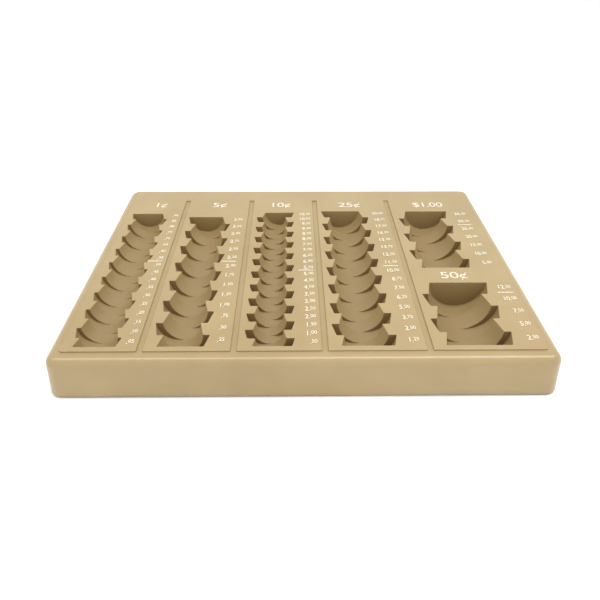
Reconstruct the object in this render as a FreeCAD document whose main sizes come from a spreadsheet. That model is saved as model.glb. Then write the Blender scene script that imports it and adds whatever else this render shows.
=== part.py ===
import FreeCAD, Part
import os

import Sketcher
from FreeCAD import Vector

# Manual coin counting tray. One open-bottomed moulding carries six stepped half-round troughs.
# Each step holds five coins and leans the other way from its neighbour, so the count can be read
# from the value beside the last full step. Frame: X right, Y away from the user, Z up, with the
# origin on the table below the middle of the tray. Millimetres.

# Driving dimensions of the moulding: alias, value, what it is
TRAY_SIZES = [
    ("shell_width", 245.0, "outer width at the lower edge"),
    ("shell_depth", 189.0, "outer depth at the lower edge"),
    ("apron_rise", 21.0, "lower edge of the shell up to the apron around the plateau"),
    ("draft_angle", 3.6, "lean of the outer walls, degrees"),
    ("corner_round", 6.0, "radius of the upright corners"),
    ("edge_round", 4.0, "radius between the walls and the apron"),
    ("shell_wall", 2.2, "thickness of the outer walls"),
    ("deck_wall", 2.0, "thickness of the deck under the apron"),
    ("foot_gap", 0.8, "lower edge of the shell above the table"),
    ("plateau_width", 230.0, "raised plateau, side to side"),
    ("plateau_depth", 173.6, "raised plateau, front to back"),
    ("plateau_step", 1.0, "height of the plateau above the apron"),
    ("plateau_corner", 1.5, "radius of the plateau's corners"),
    ("groove_width", 3.0, "grooves that part the columns"),
    ("groove_back_land", 13.7, "plateau left behind the ends of the grooves"),
    ("trough_land", 2.4, "front edge of the plateau to where the steps are counted from"),
    ("front_lip", 0.9, "how far the front wall of a trough stands into its first step"),
    ("trough_wall", 1.8, "thickness of the trough shells"),
    ("coin_clearance", 1.0, "trough diameter over coin diameter"),
    ("step_slant", 13.0, "lean of a step against the trough line, degrees"),
    ("dollar_gap", 14.6, "plateau between the half and the dollar trough"),
    ("rib_wall", 1.6, "thickness of the stiffening ribs"),
    ("rib_depth", 3.0, "how far the ribs stand down from the deck"),
    ("rib_spacing", 76.0, "distance between the two cross ribs"),
    ("boss_diameter", 15.0, "bosses that carry the feet"),
    ("foot_diameter", 12.0, "rubber feet"),
    ("foot_height", 2.0, "thickness of the rubber feet"),
    ("foot_inset_side", 15.5, "centre of a foot from the side of the shell"),
    ("foot_inset_end", 14.0, "centre of a foot from the front or back of the shell"),
    ("mark_height", 0.25, "how far the markings stand up"),
    ("value_height", 3.5, "height of a whole digit in the value scales"),
    ("cents_height", 2.6, "height of the small digits in the value scales"),
    ("value_space", 0.45, "space between the characters of a value"),
    ("value_lift", 0.56, "place of a value along its step, 0 front, 1 back"),
    ("heading_height", 6.6, "height of the column headings"),
    ("heading_space", 1.5, "space between the characters of a heading"),
    ("heading_back_gap", 24.2, "back edge of the plateau to the foot of the headings"),
    ("half_heading_gap", 3.9, "back wall of the half trough to the foot of its heading"),
    ("roll_line_width", 8.6, "length of a roll line"),
    ("roll_line_depth", 0.7, "thickness of a roll line"),
    ("roll_line_gap", 0.5, "step end to the roll line"),
]

# One row per trough: coin diameter, length of a step of five coins, sideways offset at a step's
# back end, centre line, number of steps, widest part of the trough to the right edge of the
# values, centre line to the left edge of the heading
TROUGH_SIZES = {
    "penny": (19.05, 7.65, 1.9, -99.9, 18, 6.7, 1.9),
    "nickel": (21.21, 9.49, 2.8, -59.8, 14, 7.5, -0.2),
    "dime": (17.91, 6.62, 2.8, -17.0, 21, 10.85, -2.2),
    "quarter": (24.26, 8.81, 2.9, 29.1, 16, 10.35, -3.3),
    "dollar": (26.50, 10.26, 3.0, 81.3, 7, 11.95, -4.3),
    "half": (30.61, 10.83, 3.0, 82.5, 5, 11.7, -5.3),
}
COLUMN_GROOVES = {
    "groove_one": -77.6,
    "groove_two": -33.6,
    "groove_three": 9.6,
    "groove_four": 59.3,
}

# What the markings say: cents per step, steps in a full roll, heading
MARKINGS = {
    "penny": (5, 10, "1c"),
    "nickel": (25, 8, "5c"),
    "dime": (50, 10, "10c"),
    "quarter": (125, 8, "25c"),
    "dollar": (500, 5, "$1.00"),
    "half": (250, 4, "50c"),
}

# Block digits on a grid three wide and five high: an outline, then its holes
GLYPHS = {
    "0": [[(0, 0), (3, 0), (3, 5), (0, 5)], [(1, 1), (2, 1), (2, 4), (1, 4)]],
    "1": [[(1, 0), (2, 0), (2, 5), (1, 5)]],
    "2": [[(0, 0), (3, 0), (3, 1), (1, 1), (1, 2), (3, 2),
           (3, 5), (0, 5), (0, 4), (2, 4), (2, 3), (0, 3)]],
    "3": [[(0, 0), (3, 0), (3, 5), (0, 5), (0, 4), (2, 4),
           (2, 3), (1, 3), (1, 2), (2, 2), (2, 1), (0, 1)]],
    "4": [[(2, 0), (3, 0), (3, 5), (2, 5), (2, 3), (1, 3), (1, 5), (0, 5), (0, 2), (2, 2)]],
    "5": [[(0, 0), (3, 0), (3, 3), (1, 3), (1, 4), (3, 4),
           (3, 5), (0, 5), (0, 2), (2, 2), (2, 1), (0, 1)]],
    "6": [[(0, 0), (3, 0), (3, 3), (1, 3), (1, 4), (3, 4), (3, 5), (0, 5)],
          [(1, 1), (2, 1), (2, 2), (1, 2)]],
    "7": [[(2, 0), (3, 0), (3, 5), (0, 5), (0, 4), (2, 4)]],
    "8": [[(0, 0), (3, 0), (3, 5), (0, 5)],
          [(1, 1), (2, 1), (2, 2), (1, 2)],
          [(1, 3), (2, 3), (2, 4), (1, 4)]],
    "9": [[(0, 0), (3, 0), (3, 5), (0, 5), (0, 2), (2, 2), (2, 1), (0, 1)],
          [(1, 3), (2, 3), (2, 4), (1, 4)]],
    ".": [[(0, 0), (1, 0), (1, 1), (0, 1)]],
    "c": [[(1.2, 0), (1.8, 0), (1.8, 0.8), (3, 0.8), (3, 1.7), (0.9, 1.7), (0.9, 3.3), (3, 3.3),
           (3, 4.2), (1.8, 4.2), (1.8, 5), (1.2, 5), (1.2, 4.2), (0, 4.2), (0, 0.8), (1.2, 0.8)]],
    "$": [[(1.2, 0), (1.8, 0), (1.8, 0.6), (3, 0.6), (3, 2.9), (0.8, 2.9), (0.8, 3.6), (3, 3.6),
           (3, 4.4), (1.8, 4.4), (1.8, 5), (1.2, 5), (1.2, 4.4), (0, 4.4), (0, 2.1), (2.2, 2.1),
           (2.2, 1.4), (0, 1.4), (0, 0.6), (1.2, 0.6)]],
}
GRID_HEIGHT = 5.0

doc = FreeCAD.newDocument("coin_tray")
sheet = doc.addObject("Spreadsheet::Sheet", "Sizes")


def fill_sheet():
    """Write every driving dimension to the sheet under its alias."""
    rows = list(TRAY_SIZES)
    for name, x in COLUMN_GROOVES.items():
        rows.append((name + "_x", x, "centre line of " + name.replace("_", " ")))
    columns = [
        ("coin", "coin diameter"),
        ("pitch", "length of one step of five coins"),
        ("offset", "sideways offset at the back end of a step"),
        ("centre", "centre line of the trough"),
        ("steps", "number of steps"),
        ("value_gap", "widest part to the right edge of the values"),
        ("heading_shift", "centre line to the left edge of the heading"),
    ]
    for name, values in TROUGH_SIZES.items():
        for (suffix, note), value in zip(columns, values):
            rows.append((f"{name}_{suffix}", value, f"{name} trough, {note}"))
    for row, (alias, value, note) in enumerate(rows, start=1):
        sheet.set(f"A{row}", note)
        sheet.set(f"B{row}", str(value))
        sheet.setAlias(f"B{row}", alias)
    doc.recompute()


def value_of(expression):
    """The number that an expression over the sheet comes to."""
    return float(sheet.evalExpression(expression))


def sized(text):
    """Turn bare aliases in a formula, marked with @, into references to the sheet."""
    return text.replace("@", "Sizes.")


# Places that several pieces share, as formulas over the sheet
APRON = "(@foot_gap + @apron_rise)"
PLATEAU = "(@foot_gap + @apron_rise + @plateau_step)"
DECK = "(@foot_gap + @apron_rise - @deck_wall)"
FRONT = "(@trough_land - @plateau_depth / 2)"


def trough_front(name):
    """Formula for the Y of a trough's front wall."""
    if name == "dollar":
        return f"({FRONT} + @half_pitch * @half_steps + @dollar_gap)"
    return FRONT


def trough_length(name):
    """Formula for the length of a trough."""
    return f"(@{name}_pitch * @{name}_steps)"


def bore(name):
    """Formula for the radius of a trough."""
    return f"((@{name}_coin + @coin_clearance) / 2)"


def value_edge(name):
    """Formula for the right edge of the values beside a trough."""
    return f"(@{name}_centre + @{name}_offset + {bore(name)} + @{name}_value_gap)"


def slide(name):
    """Formula for the sideways run of one step."""
    return f"(@{name}_pitch * tan(@step_slant))"


def origin_feature(body, role):
    """The plane or axis of a body's own origin that has this role."""
    for feature in body.Origin.OriginFeatures:
        if feature.Role == role:
            return feature
    raise RuntimeError("no origin feature " + role)


def new_sketch(body, name, plane, offset):
    """Sketch on one of the body's own planes, moved along the plane's normal by a formula."""
    sketch = body.newObject("Sketcher::SketchObject", name)
    sketch.AttachmentSupport = [(origin_feature(body, plane), "")]
    sketch.MapMode = "FlatFace"
    sketch.setExpression("AttachmentOffset.Base.z", sized(offset))
    return sketch


def bind(sketch, kind, where, formula):
    """Add one dimension to a sketch and bind it to a formula over the sheet."""
    formula = sized(formula)
    index = sketch.addConstraint(Sketcher.Constraint(kind, *where, value_of(formula)))
    label = f"size_{index}"
    sketch.renameConstraint(index, label)
    sketch.setExpression("Constraints." + label, formula)


def add_rectangle(sketch, left, front, width, depth):
    """Closed rectangle whose corner and sides follow four formulas."""
    x, y, w, d = (value_of(sized(item)) for item in (left, front, width, depth))
    corners = [Vector(x, y, 0), Vector(x + w, y, 0), Vector(x + w, y + d, 0), Vector(x, y + d, 0)]
    first = sketch.GeometryCount
    for index in range(4):
        sketch.addGeometry(Part.LineSegment(corners[index], corners[(index + 1) % 4]), False)
    for index in range(4):
        follower = first + (index + 1) % 4
        sketch.addConstraint(Sketcher.Constraint("Coincident", first + index, 2, follower, 1))
    for index in (0, 2):
        sketch.addConstraint(Sketcher.Constraint("Horizontal", first + index))
        sketch.addConstraint(Sketcher.Constraint("Vertical", first + index + 1))
    bind(sketch, "DistanceX", (first, 1, first, 2), width)
    bind(sketch, "DistanceY", (first + 1, 1, first + 1, 2), depth)
    bind(sketch, "DistanceX", (-1, 1, first, 1), left)
    bind(sketch, "DistanceY", (-1, 1, first, 1), front)


def add_pad(body, name, sketch, length, taper=None):
    """Pad a sketch by a formula and check that it adds material."""
    before = body.Shape.Volume if body.Tip else 0.0
    pad = body.newObject("PartDesign::Pad", name)
    pad.Profile = sketch
    pad.setExpression("Length", sized(length))
    if taper:
        pad.setExpression("TaperAngle", sized(taper))
    pad.Refine = False
    sketch.Visibility = False
    doc.recompute()
    body.Tip = pad
    doc.recompute()
    if body.Shape.Volume <= before:
        raise RuntimeError(name + " adds nothing")
    return pad


def add_pocket(body, name, sketch, length):
    """Pocket a sketch downwards by a formula and check that it cuts."""
    before = body.Shape.Volume
    pocket = body.newObject("PartDesign::Pocket", name)
    pocket.Profile = sketch
    pocket.setExpression("Length", sized(length))
    pocket.Refine = False
    sketch.Visibility = False
    doc.recompute()
    body.Tip = pocket
    doc.recompute()
    if body.Shape.Volume >= before:
        raise RuntimeError(name + " cuts nothing")
    return pocket


def add_fillet(body, name, base, wanted, radius):
    """Round the edges of the last feature that a test picks out."""
    edges = [f"Edge{i}" for i, edge in enumerate(base.Shape.Edges, start=1) if wanted(edge)]
    if not edges:
        raise RuntimeError(name + " found no edges")
    fillet = body.newObject("PartDesign::Fillet", name)
    fillet.Base = (base, edges)
    fillet.setExpression("Radius", sized(radius))
    doc.recompute()
    body.Tip = fillet
    doc.recompute()
    return fillet


def is_upright(edge):
    """True for an edge that runs from one level to another."""
    box = edge.BoundBox
    return box.ZLength > max(box.XLength, box.YLength)


def at_level(level):
    """Test for edges that lie wholly at one height."""
    def test(edge):
        return abs(edge.BoundBox.ZMin - level) < 0.01 and abs(edge.BoundBox.ZMax - level) < 0.01
    return test


def add_block(body, name, inset, height, corner):
    """Drafted block with rounded corners, set in from the shell's outline by a formula."""
    outline = new_sketch(body, name + "_outline", "XY_Plane", "@foot_gap")
    add_rectangle(
        outline,
        f"{inset} - @shell_width / 2",
        f"{inset} - @shell_depth / 2",
        f"@shell_width - 2 * {inset}",
        f"@shell_depth - 2 * {inset}",
    )
    block = add_pad(body, name, outline, height, taper="-@draft_angle")
    return add_fillet(body, name + "_corners", block, is_upright, corner)


def make_outer():
    """Outer form of the moulding: the block, its rounded edge, the plateau and the grooves."""
    body = doc.addObject("PartDesign::Body", "outer_form")
    low = value_of(sized(APRON))
    corners = add_block(body, "block", "0", "@apron_rise", "@corner_round")
    add_fillet(body, "edge", corners, at_level(low), "@edge_round")
    raised = new_sketch(body, "plateau_outline", "XY_Plane", APRON)
    add_rectangle(
        raised,
        "-@plateau_width / 2",
        "-@plateau_depth / 2",
        "@plateau_width",
        "@plateau_depth",
    )
    plateau = add_pad(body, "plateau", raised, "@plateau_step")

    def plateau_corner(edge):
        return is_upright(edge) and edge.BoundBox.ZMin > low - 0.01

    add_fillet(body, "plateau_corners", plateau, plateau_corner, "@plateau_corner")
    cut_grooves(body)
    return body


def make_hollow():
    """The room under the deck, with walls parallel to the outer ones."""
    body = doc.addObject("PartDesign::Body", "hollow_form")
    add_block(body, "room", "@shell_wall", "@apron_rise - @deck_wall", "@corner_round - @shell_wall")
    return body


def bound_object(kind, name, **formulas):
    """Part primitive whose properties follow formulas over the sheet; x, y and z place it."""
    item = doc.addObject(kind, name)
    for key, formula in formulas.items():
        path = "Placement.Base." + key if key in ("x", "y", "z") else key
        item.setExpression(path, sized(formula))
    return item


def trough_shells():
    """Half-round channels under the deck, wide enough for the steps that lean to either side."""
    pieces = []
    for name in TROUGH_SIZES:
        radius = f"({bore(name)} + @trough_wall)"
        length = f"({trough_length(name)} + 2 * @trough_wall)"
        front = f"({trough_front(name)} - @trough_wall)"
        for side, sign in (("left", "-"), ("right", "+")):
            half = bound_object(
                "Part::Cylinder", f"{name}_channel_{side}",
                Radius=radius, Height=length, Angle="180",
                x=f"@{name}_centre {sign} @{name}_offset", y=f"{front} + {length}", z=PLATEAU,
            )
            upright, turned = FreeCAD.Rotation(Vector(1, 0, 0), -90), FreeCAD.Rotation(Vector(0, 0, 1), 180)
            half.Placement.Rotation = turned * upright
            pieces.append(half)
        pieces.append(bound_object(
            "Part::Box", f"{name}_channel_floor",
            Length=f"2 * @{name}_offset", Width=length, Height=f"{radius} - @plateau_step",
            x=f"@{name}_centre - @{name}_offset", y=front, z=f"{PLATEAU} - {radius}",
        ))
    return pieces


def ribs_and_bosses():
    """Stiffening ribs below the grooves and across the hollow, and the bosses for the feet."""
    pieces = []
    for groove in COLUMN_GROOVES:
        pieces.append(bound_object(
            "Part::Box", groove + "_rib",
            Length="@rib_wall", Width="@shell_depth", Height="@rib_depth",
            x=f"@{groove}_x - @rib_wall / 2", y="-@shell_depth / 2", z=f"{DECK} - @rib_depth",
        ))
    for place, sign in (("front", "-"), ("back", "+")):
        pieces.append(bound_object(
            "Part::Box", f"cross_rib_{place}",
            Length="@shell_width", Width="@rib_wall", Height="@rib_depth",
            x="-@shell_width / 2", y=f"0 {sign} @rib_spacing / 2 - @rib_wall / 2",
            z=f"{DECK} - @rib_depth",
        ))
    for name, (x, y) in foot_centres().items():
        pieces.append(bound_object(
            "Part::Cylinder", name.replace("foot", "boss"),
            Radius="@boss_diameter / 2", Height=f"{APRON} - @foot_height", x=x, y=y, z="@foot_height",
        ))
    return pieces


def foot_centres():
    """Formulas for the centre of each foot."""
    places = {}
    for end, towards in (("front", "-1"), ("back", "1")):
        for side, along in (("left", "-1"), ("right", "1")):
            x = f"{along} * (@shell_width / 2 - @foot_inset_side)"
            y = f"{towards} * (@shell_depth / 2 - @foot_inset_end)"
            places[f"foot_{end}_{side}"] = (x, y)
    return places


def step_cutter(name, lean, sign, turn):
    """Circle swept along one leaning step, as a solid bound to the sheet."""
    circle = bound_object(
        "Part::Circle", f"{name}_{lean}_circle",
        Radius=bore(name),
        x=f"@{name}_centre {sign} (@{name}_offset - {slide(name)})",
        y=f"{trough_front(name)} + {turn} * @{name}_pitch",
        z=PLATEAU,
    )
    circle.Placement.Rotation = FreeCAD.Rotation(Vector(1, 0, 0), 90)
    sweep = doc.addObject("Part::Extrusion", f"{name}_{lean}_sweep")
    sweep.Base = circle
    sweep.DirMode = "Custom"
    sweep.Solid = True
    sweep.setExpression("Dir.x", sized(f"0 {sign} {slide(name)}"))
    sweep.setExpression("Dir.y", sized(f"@{name}_pitch"))
    sweep.Dir = Vector(sweep.Dir.x, sweep.Dir.y, 0)
    sweep.setExpression("LengthFwd", sized(f"@{name}_pitch / cos(@step_slant)"))
    doc.recompute()
    return sweep


def without_lip(step, name):
    """The first step of a trough, shortened by the lip at its front."""
    size = value_of(sized(bore(name))) * 4
    centre = value_of(sized(f"@{name}_centre"))
    front = value_of(sized(trough_front(name) + " + @front_lip"))
    corner = Vector(centre - size / 2, front - size, value_of(sized(PLATEAU)) - size / 2)
    return step.cut(Part.makeBox(size, size, size, corner))


def cut_steps(solid):
    """Cut the steps of all troughs: first those that lean right, then those that lean left."""
    for turn, (lean, sign) in enumerate((("right", "+"), ("left", "-"))):
        copies = []
        for name in TROUGH_SIZES:
            steps = int(value_of(sized(f"@{name}_steps")))
            pitch = value_of(sized(f"@{name}_pitch"))
            sweep = step_cutter(name, lean, sign, turn)
            for row in range(turn, steps, 2):
                step = sweep.Shape.translated(Vector(0, (row - turn) * pitch, 0))
                copies.append(step if row else without_lip(step, name))
        steps_of_one_lean = doc.addObject("Part::Feature", f"{lean}_steps")
        steps_of_one_lean.Shape = Part.makeCompound(copies)
        cut = boolean("Part::Cut", f"{lean}_cut", solid, steps_of_one_lean)
        if cut.Shape.Volume >= solid.Shape.Volume:
            raise RuntimeError(cut.Name + " cuts nothing")
        solid = cut
    return solid


def cut_grooves(body):
    """Grooves that part the plateau into five columns, open at the front."""
    outline = new_sketch(body, "groove_outline", "XY_Plane", PLATEAU)
    for groove in COLUMN_GROOVES:
        add_rectangle(
            outline,
            f"@{groove}_x - @groove_width / 2",
            "-@plateau_depth / 2 - 1",
            "@groove_width",
            "@plateau_depth - @groove_back_land + 1",
        )
    add_pocket(body, "grooves", outline, "@plateau_step")


def boolean(kind, name, base, tool):
    """Boolean of two document objects, recomputed and checked."""
    item = doc.addObject(kind, name)
    item.Base = base
    item.Tool = tool
    item.Refine = False
    doc.recompute()
    if item.Shape.isNull() or item.Shape.Volume <= 0:
        raise RuntimeError(name + " is empty")
    return item


def make_tray():
    """The moulding: outer form less the room that channels, ribs and bosses leave, less the steps."""
    outer, hollow = make_outer(), make_hollow()
    filling = doc.addObject("Part::MultiFuse", "filling")
    filling.Shapes = trough_shells() + ribs_and_bosses()
    filling.Refine = False
    room = boolean("Part::Cut", "room_left", hollow, filling)
    shell = boolean("Part::Cut", "shell", outer, room)
    tray = doc.addObject("Part::Refine", "tray_moulding")
    tray.Source = cut_steps(shell)
    return tray


def make_feet():
    """Four rubber feet, flat against their bosses."""
    feet = []
    for name, (x, y) in foot_centres().items():
        feet.append(bound_object(
            "Part::Cylinder", name,
            Radius="@foot_diameter / 2", Height="@foot_height", x=x, y=y,
        ))
    return feet


def glyph_width(char):
    """Width of a glyph on its grid."""
    points = GLYPHS[char][0]
    return max(x for x, _ in points) - min(x for x, _ in points)


def glyph_solid(char, left, foot, height, level, thickness):
    """One raised character whose lower left corner is at (left, foot)."""
    scale = height / GRID_HEIGHT
    shift = min(x for x, _ in GLYPHS[char][0])
    wires = []
    for points in GLYPHS[char]:
        corners = [Vector(left + (x - shift) * scale, foot + y * scale, level) for x, y in points]
        wires.append(Part.makePolygon(corners + corners[:1]))
    face = Part.makeFace(wires, "Part::FaceMakerBullseye")
    return face.extrude(Vector(0, 0, thickness))


def text_run(text, height, space):
    """Characters of a text with the place of each from the text's left edge, and the whole width."""
    unit = height / GRID_HEIGHT
    place = 0.0
    run = []
    for char in text:
        run.append((char, place))
        place += glyph_width(char) * unit + space
    return run, place - space


def value_solids(cents, right, foot, level):
    """One value: whole dollars large, then a point, then the cents small and raised."""
    tall, small = value_of("Sizes.value_height"), value_of("Sizes.cents_height")
    thick = value_of("Sizes.mark_height")
    dollars, rest = divmod(round(cents), 100)
    gap = value_of("Sizes.value_space")
    large, large_width = text_run(f"{dollars or ''}.", tall, gap)
    little, little_width = text_run(f"{rest:02d}", small, gap)
    left = right - large_width - gap - little_width
    solids = [glyph_solid(char, left + x, foot, tall, level, thick) for char, x in large]
    start = left + large_width + gap
    for char, x in little:
        solids.append(glyph_solid(char, start + x, foot + tall - small, small, level, thick))
    return solids


def make_marking(name, solids):
    """Document object for a set of raised characters; their outlines are no primitive's."""
    feature = doc.addObject("Part::Feature", name)
    feature.Shape = Part.makeCompound(solids)
    return feature


def make_markings(name):
    """Value scale, heading and roll line of one trough."""
    step_value, roll_steps, heading = MARKINGS[name]
    level, thick = value_of(sized(PLATEAU)), value_of("Sizes.mark_height")
    front, pitch = value_of(sized(trough_front(name))), value_of(sized(f"@{name}_pitch"))
    edge, steps = value_of(sized(value_edge(name))), int(value_of(sized(f"@{name}_steps")))
    lift = value_of("Sizes.value_lift") * pitch - value_of("Sizes.value_height") / 2
    scale = []
    for step in range(steps):
        scale += value_solids(step_value * (step + 1), edge, front + step * pitch + lift, level)
    height = value_of("Sizes.heading_height")
    foot = value_of("Sizes.plateau_depth / 2 - Sizes.heading_back_gap")
    if name == "half":
        foot = front + steps * pitch + value_of("Sizes.half_heading_gap")
    left = value_of(sized(f"@{name}_centre + @{name}_heading_shift"))
    run, _ = text_run(heading, height, value_of("Sizes.heading_space"))
    title = [glyph_solid(char, left + x, foot, height, level, thick) for char, x in run]
    line = bound_object(
        "Part::Box", "roll_line_" + name,
        Length="@roll_line_width", Width="@roll_line_depth", Height="@mark_height",
        x=f"{value_edge(name)} - @roll_line_width",
        y=f"{trough_front(name)} + {roll_steps} * @{name}_pitch + @roll_line_gap",
        z=PLATEAU,
    )
    return [make_marking("scale_" + name, scale), make_marking("heading_" + name, title), line]


def write_parts(nodes):
    """Check every object of the document, then write one STEP file per node."""
    doc.recompute()
    for item in doc.Objects:
        if "Invalid" in item.State or "Error" in item.State:
            raise RuntimeError(item.Name + " did not recompute")
    os.makedirs("parts", exist_ok=True)
    for node in nodes:
        node.Label = node.Name
        if node.Shape.isNull() or not node.Shape.isValid():
            raise RuntimeError(node.Name + " has no valid shape")
        node.Shape.exportStep(f"parts/{node.Name}.step")
        print(node.Name, round(node.Shape.Volume), "mm3", len(node.Shape.Solids), "solids")


fill_sheet()
nodes = [make_tray()] + make_feet()
for trough in TROUGH_SIZES:
    nodes += make_markings(trough)
write_parts(nodes)
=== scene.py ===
"""Looks of the coin counting tray: moulded plastic, white scales and rubber feet on a pale floor."""

import logging
import math
from dataclasses import dataclass, field
from enum import Enum

import bmesh
import bpy
from mathutils import Matrix, Vector


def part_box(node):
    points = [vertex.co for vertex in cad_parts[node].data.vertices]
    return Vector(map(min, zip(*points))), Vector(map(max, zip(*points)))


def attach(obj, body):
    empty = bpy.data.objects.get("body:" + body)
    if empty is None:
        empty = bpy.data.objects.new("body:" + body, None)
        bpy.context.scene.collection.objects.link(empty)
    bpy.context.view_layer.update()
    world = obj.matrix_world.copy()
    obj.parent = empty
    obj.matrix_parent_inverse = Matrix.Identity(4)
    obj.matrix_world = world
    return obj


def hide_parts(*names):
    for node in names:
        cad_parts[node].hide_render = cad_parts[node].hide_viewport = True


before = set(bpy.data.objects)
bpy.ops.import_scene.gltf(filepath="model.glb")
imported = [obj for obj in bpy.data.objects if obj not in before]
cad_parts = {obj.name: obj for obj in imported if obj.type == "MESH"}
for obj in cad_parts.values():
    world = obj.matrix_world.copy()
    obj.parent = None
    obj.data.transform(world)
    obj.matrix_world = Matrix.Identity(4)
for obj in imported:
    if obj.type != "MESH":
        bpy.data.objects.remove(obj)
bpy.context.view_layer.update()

log = logging.getLogger("coin_tray")
BODY = "root"

# Sizes are in millimetres unless their text says metres. Blender and the frame use metres
MM = 0.001
# Corners closer than this, in metres, are one
WELD = 0.001 * MM

# Name of the mesh attribute that says how much painted shade a corner takes
PAINTED_SHADE = "grime"

# The sRGB curve: a straight start up to the knee, then a power
SRGB_KNEE = 0.04045
SRGB_SLOPE = 12.92
SRGB_SHIFT = 0.055
SRGB_POWER = 2.4

# Colour sockets of the Mix node by number, because its other sockets have the same names
MIX_FIRST = 6
MIX_SECOND = 7
MIX_RESULT = 2

# Blender's built-in font: height of a figure against the font size, space between figures
# against the font's own, and points on each bend of an outline
FIGURE_SHARE = 0.729
FIGURE_SPACING = 0.93
FIGURE_BEND = 3

# Front to back of the plateau, its front edge to the first steps, and what lies between the half
# and the dollar trough
PLATEAU_DEPTH = 173.6
TROUGH_LAND = 2.4
DOLLAR_GAP = 14.6
STEPS_FRONT = TROUGH_LAND - PLATEAU_DEPTH / 2

Colour = tuple[float, float, float, float]


class Lean(Enum):
    """The way a step of a trough leans, seen from the front."""

    RIGHT = 1
    LEFT = -1


class Slot(Enum):
    """Material slots of the record."""

    TRAY = "tray_plastic"
    MARKING = "marking_white"
    FOOT = "foot_rubber"


class Join(Enum):
    """How one solid is combined with another."""

    ADD = "UNION"
    CUT = "DIFFERENCE"


def linear(code: str) -> Colour:
    """Turn an sRGB hex colour into linear values.

    Args:
        code: Six hex digits, red first.

    Returns:
        Linear red, green and blue, and an alpha of 1.
    """
    channels = []
    for start in (0, 2, 4):
        value = int(code[start:start + 2], 16) / 255
        if value <= SRGB_KNEE:
            channels.append(value / SRGB_SLOPE)
        else:
            channels.append(((value + SRGB_SHIFT) / (1 + SRGB_SHIFT)) ** SRGB_POWER)
    return (channels[0], channels[1], channels[2], 1.0)


def solid_box(node: str) -> list[list[float]]:
    """Lowest and highest corner of a CAD node in millimetres, to the nearest micrometre."""
    return [[round(value / MM, 3) for value in corner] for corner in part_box(node)]


def add_node(
    tree: bpy.types.NodeTree, kind: str, inputs: dict | None = None,
    stops: list[tuple[float, Colour]] | None = None, **settings: object,
) -> bpy.types.Node:
    """Add a shader node with its settings, and fill or link its inputs.

    Args:
        tree: Node tree that takes the node.
        kind: Blender's name for the node's type.
        inputs: Value or output socket for each input, by name or number.
        stops: Place and colour of both stops, where the node is a colour ramp.
        **settings: Properties of the node.

    Returns:
        The new node.
    """
    node = tree.nodes.new(kind)
    for name, value in settings.items():
        setattr(node, name, value)
    for name, value in (inputs or {}).items():
        if isinstance(value, bpy.types.NodeSocket):
            tree.links.new(value, node.inputs[name])
        else:
            node.inputs[name].default_value = value
    if stops:
        for element, (place, colour) in zip(node.color_ramp.elements, stops, strict=True):
            element.position = place
            element.color = colour
    return node


def new_material(name: str) -> tuple[bpy.types.Material, bpy.types.NodeTree, bpy.types.Node]:
    """Empty material with a principled shader.

    Args:
        name: Name of the material.

    Returns:
        The material, its node tree and the shader node.
    """
    material = bpy.data.materials.new(name)
    material.use_nodes = True
    tree = material.node_tree
    tree.nodes.clear()
    shader = add_node(tree, "ShaderNodeBsdfPrincipled")
    add_node(tree, "ShaderNodeOutputMaterial", {"Surface": shader.outputs["BSDF"]})
    return material, tree, shader


@dataclass(frozen=True)
class Grain:
    """Random pattern: size of its largest forms, levels of finer ones, and the weight of those."""

    size: float
    detail: float
    weight: float = 0.5

    def inputs(self, place: bpy.types.NodeSocket) -> dict:
        """Inputs for the noise texture that draws the pattern."""
        scale = 1 / (self.size * MM)
        return {"Vector": place, "Scale": scale, "Detail": self.detail, "Roughness": self.weight}


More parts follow.
